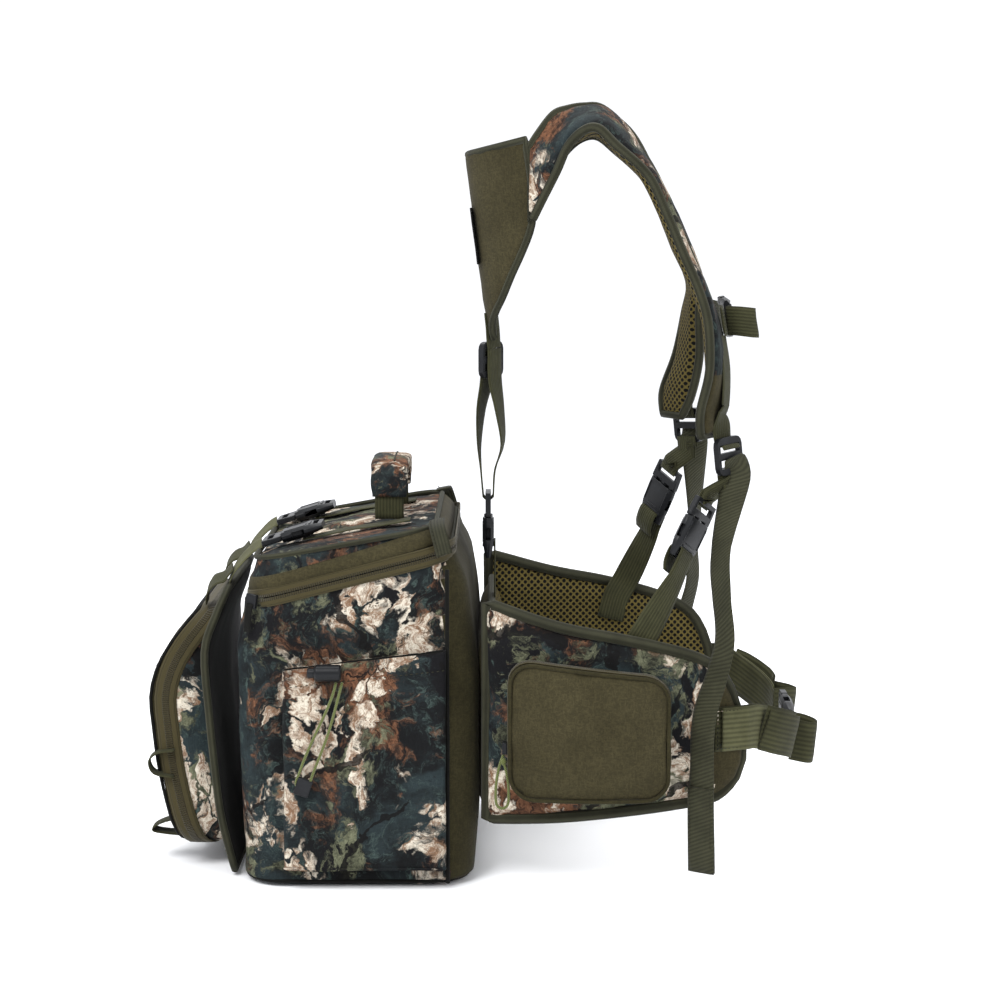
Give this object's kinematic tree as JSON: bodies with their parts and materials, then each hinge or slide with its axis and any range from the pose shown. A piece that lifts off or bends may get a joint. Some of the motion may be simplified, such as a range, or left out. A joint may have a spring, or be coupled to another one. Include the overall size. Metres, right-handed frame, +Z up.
{
  "type": "lumbar hunting backpack",
  "caption": "camouflage lumbar hunting pack with hinged lid, beavertail pouch, padded hip belt wings with zip pockets and a shoulder harness on release buckles",
  "frame": {"origin": "centre of the bag's flat base", "axes": "+X the wearer's forward, +Y the wearer's left, +Z up"},
  "size_m": [0.5585, 0.3764, 0.6581],
  "materials": {
    "camo_fabric": "matte",
    "olive_fabric": "matte",
    "olive_webbing": "matte",
    "air_mesh": "matte",
    "green_cord": "matte",
    "black_plastic": "satin",
    "stiffener": "matte"
  },
  "bodies": {
    "pack": {"main_shell": "camo_fabric", "frame_sheet": "stiffener", "lumbar_pad": "air_mesh", "rear_anchor": "olive_webbing", "rear_buckle_female": "black_plastic", "side_pocket_near": "camo_fabric", "cord_lock_near": "black_plastic", "shock_cord_near": "green_cord", "cord_end_near": "black_plastic", "side_pocket_far": "camo_fabric", "cord_lock_far": "black_plastic", "shock_cord_far": "green_cord", "cord_end_far": "black_plastic"},
    "button_near": {"lock_button_near": "black_plastic"},
    "button_far": {"lock_button_far": "black_plastic"},
    "lid": {"lid_shell": "camo_fabric", "compression_upper_near": "olive_webbing", "compression_male_near": "black_plastic", "compression_lower_near": "olive_webbing", "compression_upper_far": "olive_webbing", "compression_male_far": "black_plastic", "compression_lower_far": "olive_webbing"},
    "handle": {"handle_webbing": "olive_webbing", "handle_grip": "camo_fabric"},
    "catch_near": {"compression_female_near": "black_plastic"},
    "catch_far": {"compression_female_far": "black_plastic"},
    "beavertail": {"tail_panel": "camo_fabric", "front_pouch": "camo_fabric"},
    "pouch_cover": {"pouch_flap": "olive_fabric"},
    "wing_near": {"wing_near": "camo_fabric", "wing_pocket_near": "olive_fabric", "front_anchor_near": "olive_webbing", "waist_webbing_near": "olive_webbing", "waist_female": "black_plastic"},
    "wing_cover_near": {"wing_flap_near": "olive_fabric"},
    "wing_far": {"wing_far": "camo_fabric", "wing_pocket_far": "olive_fabric", "front_anchor_far": "olive_webbing", "waist_webbing_far": "olive_webbing"},
    "wing_cover_far": {"wing_flap_far": "olive_fabric"},
    "waist_plug": {"waist_male": "black_plastic"},
    "rear_plug": {"rear_buckle_male": "black_plastic"},
    "harness": {"yoke": "olive_fabric", "shoulder_pad_near": "camo_fabric", "shoulder_pad_far": "camo_fabric", "rear_ladder_lock": "black_plastic", "rear_strap": "olive_webbing", "sternum_strap": "olive_webbing", "sternum_female": "black_plastic", "ladder_lock_near": "black_plastic", "front_link_near": "olive_webbing", "front_male_near": "black_plastic", "ladder_lock_far": "black_plastic", "front_link_far": "olive_webbing", "front_male_far": "black_plastic"},
    "front_socket_near": {"front_female_near": "black_plastic"},
    "tail_strap_near": {"tail_strap_near": "olive_webbing"},
    "front_socket_far": {"front_female_far": "black_plastic"},
    "tail_strap_far": {"tail_strap_far": "olive_webbing"},
    "sternum_plug": {"sternum_male": "black_plastic"}
  },
  "joints": [
    {"name": "lid_open", "type": "hinge", "parent": "pack", "child": "lid", "pos_m": [0.085, 0, 0.289], "axis": [0, 1, 0], "range_deg": [0, 40]},
    {"name": "handle_tilt", "type": "hinge", "parent": "lid", "child": "handle", "pos_m": [0.027, 0, 0.302], "axis": [0, 1, 0], "range_deg": [-30, 10]},
    {"name": "compression_release_near", "type": "slide", "parent": "lid", "child": "catch_near", "axis": [0.9563, 0, 0.2924], "range_m": [0, 0.022]},
    {"name": "compression_release_far", "type": "slide", "parent": "lid", "child": "catch_far", "axis": [0.9563, 0, 0.2924], "range_m": [0, 0.022]},
    {"name": "beavertail_open", "type": "hinge", "parent": "pack", "child": "beavertail", "pos_m": [-0.1, 0, 0.01], "axis": [0, -1, 0], "range_deg": [0, 30]},
    {"name": "front_pouch_open", "type": "hinge", "parent": "beavertail", "child": "pouch_cover", "pos_m": [-0.1475, 0, 0.0265], "axis": [0, -1, 0], "range_deg": [0, 40]},
    {"name": "wing_near_swing", "type": "hinge", "parent": "pack", "child": "wing_near", "pos_m": [0.112, -0.144, 0.14], "axis": [0, 0, -1], "range_deg": [0, 25]},
    {"name": "wing_pocket_near_open", "type": "hinge", "parent": "wing_near", "child": "wing_cover_near", "pos_m": [0.1965, -0.188, 0.0855], "axis": [1, 0, 0], "range_deg": [0, 70]},
    {"name": "wing_far_swing", "type": "hinge", "parent": "pack", "child": "wing_far", "pos_m": [0.112, 0.144, 0.14], "axis": [0, 0, 1], "range_deg": [0, 25]},
    {"name": "wing_pocket_far_open", "type": "hinge", "parent": "wing_far", "child": "wing_cover_far", "pos_m": [0.1965, 0.188, 0.0855], "axis": [-1, 0, 0], "range_deg": [0, 70]},
    {"name": "waist_release", "type": "slide", "parent": "wing_near", "child": "waist_plug", "axis": [0, 0.9982, 0.0599], "range_m": [0, 0.022]},
    {"name": "rear_release", "type": "slide", "parent": "pack", "child": "rear_plug", "axis": [0, 0, 1], "range_m": [0, 0.022]},
    {"name": "harness_fold", "type": "hinge", "parent": "rear_plug", "child": "harness", "pos_m": [0.1125, 0, 0.3169], "axis": [0, 1, 0], "range_deg": [-45, 0]},
    {"name": "front_release_near", "type": "slide", "parent": "harness", "child": "front_socket_near", "axis": [-0.4409, -0.2164, -0.8711], "range_m": [0, 0.022]},
    {"name": "tail_strap_near_swing", "type": "hinge", "parent": "harness", "child": "tail_strap_near", "pos_m": [0.316, -0.1, 0.361], "axis": [-1, 0, 0], "range_deg": [-5, 35]},
    {"name": "front_release_far", "type": "slide", "parent": "harness", "child": "front_socket_far", "axis": [-0.3434, 0.2163, -0.9139], "range_m": [0, 0.022]},
    {"name": "tail_strap_far_swing", "type": "hinge", "parent": "harness", "child": "tail_strap_far", "pos_m": [0.298, 0.1, 0.369], "axis": [1, 0, 0], "range_deg": [-5, 35]},
    {"name": "sternum_release", "type": "slide", "parent": "harness", "child": "sternum_plug", "axis": [0, 1, 0], "range_m": [0, 0.022]},
    {"name": "cord_lock_near_press", "type": "slide", "parent": "pack", "child": "button_near", "axis": [1, 0, 0], "range_m": [0, 0.004], "stiffness_N_per_m": 400, "springref_m": -0.0005},
    {"name": "cord_lock_far_press", "type": "slide", "parent": "pack", "child": "button_far", "axis": [1, 0, 0], "range_m": [0, 0.004], "stiffness_N_per_m": 400, "springref_m": -0.0005}
  ],
  "couplings": [
    {"joint": "tail_strap_near_swing", "follows": "wing_near_swing", "ratio": 1},
    {"joint": "tail_strap_far_swing", "follows": "wing_far_swing", "ratio": 1}
  ]
}
